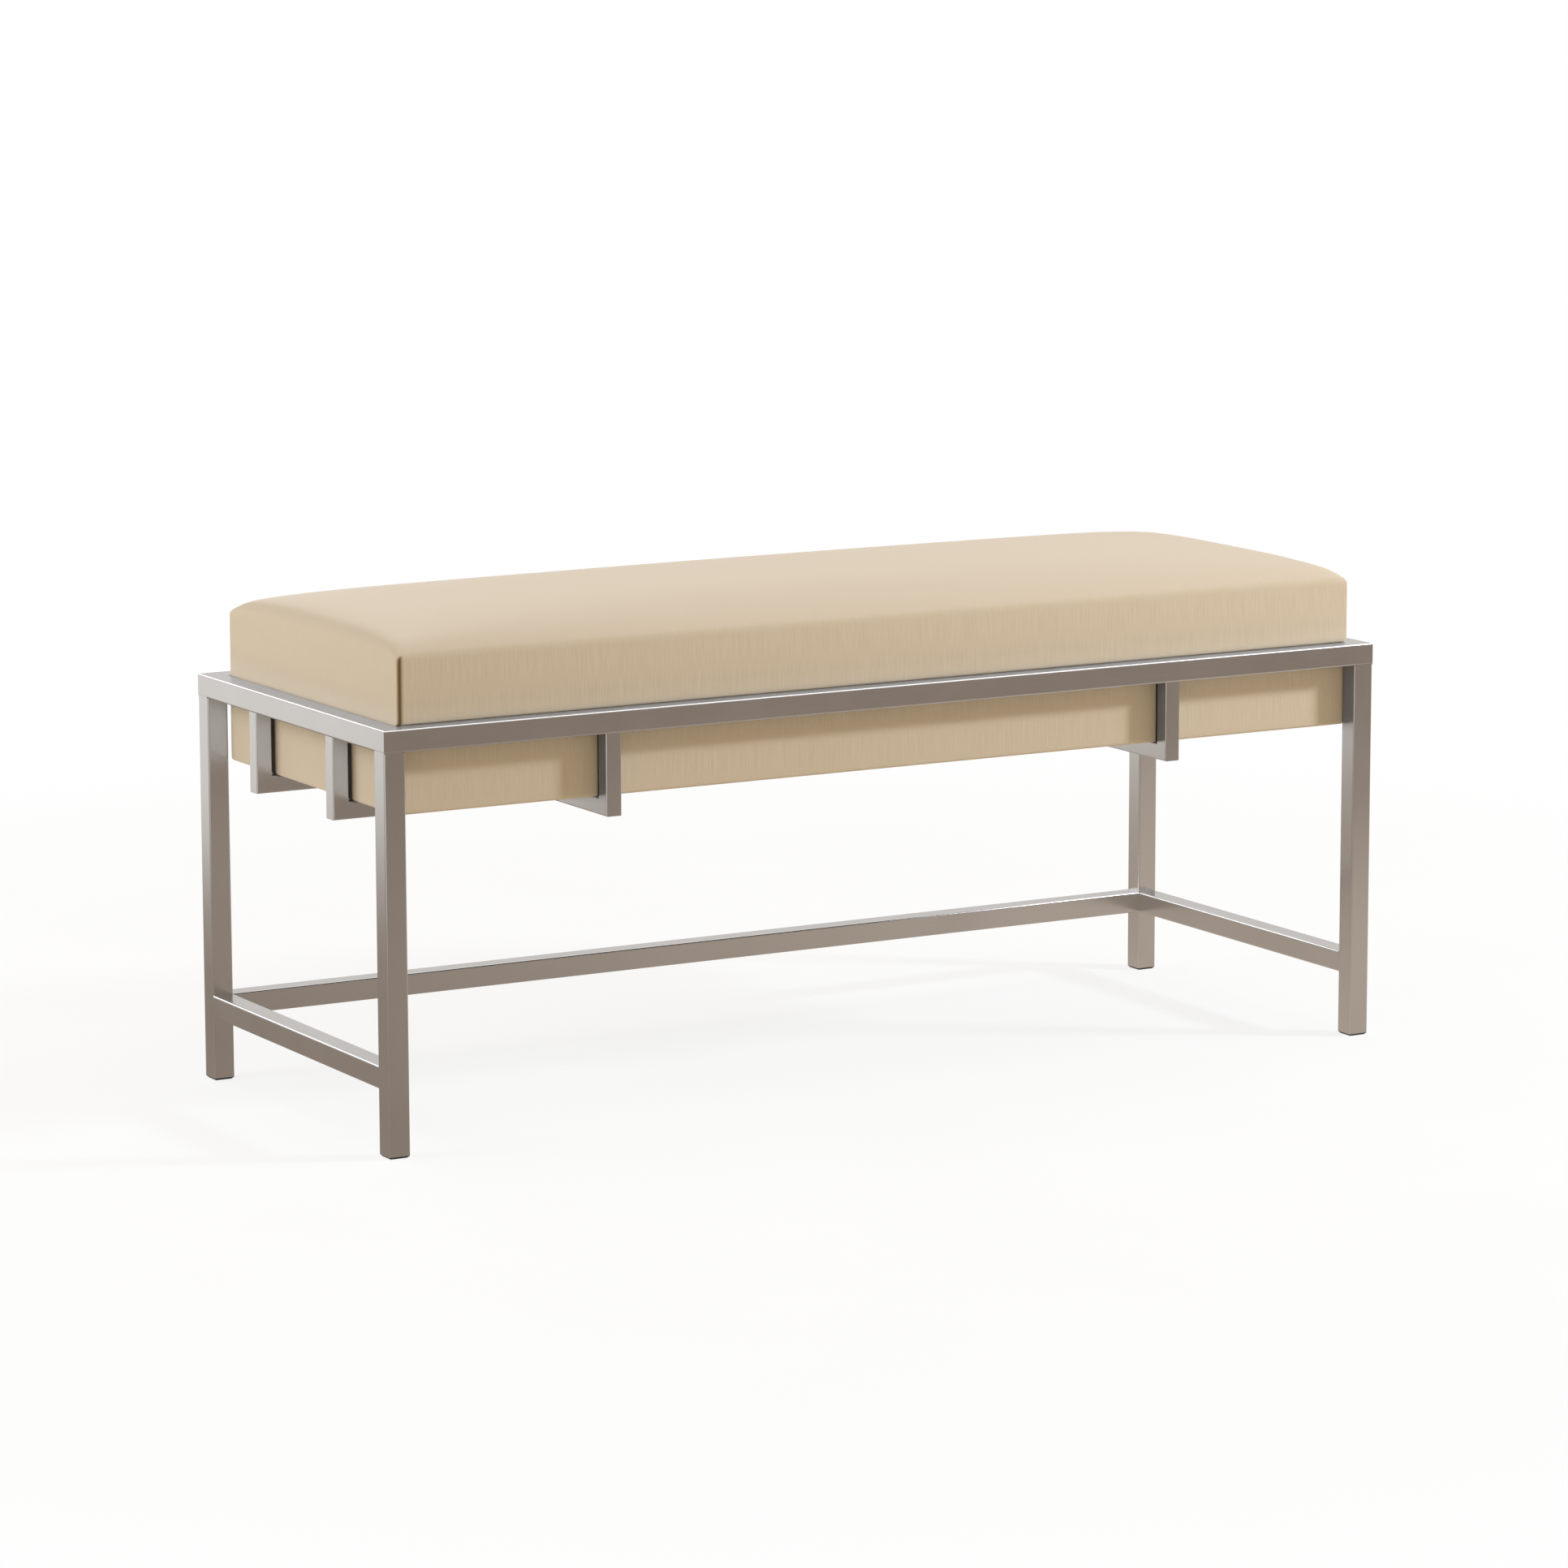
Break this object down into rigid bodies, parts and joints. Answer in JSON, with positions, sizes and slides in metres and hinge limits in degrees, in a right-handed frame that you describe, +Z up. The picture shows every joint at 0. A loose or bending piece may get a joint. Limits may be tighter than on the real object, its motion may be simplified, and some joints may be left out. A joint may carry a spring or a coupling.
{
  "type": "luggage bench",
  "caption": "Upholstered box seat with a crowned top, dropped through a square-tube ring and carried by hangers on a four-leg stand, for resting luggage or sitting.",
  "frame": {"origin": "on the floor below the middle of the bench, centre of the four glides' soles", "axes": "+X along the bench to its right end, +Y to the rear, where the low stretcher runs between the legs, +Z up"},
  "size_m": [1.2192, 0.4572, 0.5461],
  "materials": {
    "brushed_steel": "satin brushed, welds ground flush",
    "black_nylon": "moulded",
    "zinc_plated_steel": "zinc plated",
    "plywood": "raw birch plywood",
    "pine": "sawn pine",
    "beige_fabric": "fine ribbed upholstery weave",
    "black_cambric": "non-woven dust cloth",
    "foam": "cut polyurethane foam",
    "batting": "polyester wadding"
  },
  "bodies": {
    "root": {"batting_wrap": "batting", "cradle_cross_bar_left": "brushed_steel", "cradle_cross_bar_right": "brushed_steel", "cradle_end_arm_front_left": "brushed_steel", "cradle_end_arm_front_right": "brushed_steel", "cradle_end_arm_rear_left": "brushed_steel", "cradle_end_arm_rear_right": "brushed_steel", "cradle_end_post_front_left": "brushed_steel", "cradle_end_post_front_right": "brushed_steel", "cradle_end_post_rear_left": "brushed_steel", "cradle_end_post_rear_right": "brushed_steel", "cradle_post_front_left": "brushed_steel", "cradle_post_front_right": "brushed_steel", "cradle_post_rear_left": "brushed_steel", "cradle_post_rear_right": "brushed_steel", "dust_cover": "black_cambric", "foam_core": "foam", "foot_glide_front_left": "black_nylon", "foot_glide_front_right": "black_nylon", "foot_glide_rear_left": "black_nylon", "foot_glide_rear_right": "black_nylon", "frame_welds": "brushed_steel", "leg_front_left": "brushed_steel", "leg_front_right": "brushed_steel", "leg_rear_left": "brushed_steel", "leg_rear_right": "brushed_steel", "seat_base_panel": "plywood", "seat_board_front": "pine", "seat_board_left": "pine", "seat_board_rear": "pine", "seat_board_right": "pine", "seat_corner_blocks": "pine", "seat_cover": "beige_fabric", "seat_deck": "plywood", "seat_rib_left": "pine", "seat_rib_right": "pine", "seat_screws": "zinc_plated_steel", "seat_tee_nuts": "zinc_plated_steel", "seat_washers": "zinc_plated_steel", "stretcher_left": "brushed_steel", "stretcher_rear": "brushed_steel", "stretcher_right": "brushed_steel", "top_rail_front": "brushed_steel", "top_rail_left": "brushed_steel", "top_rail_rear": "brushed_steel", "top_rail_right": "brushed_steel"}
  },
  "joints": []
}
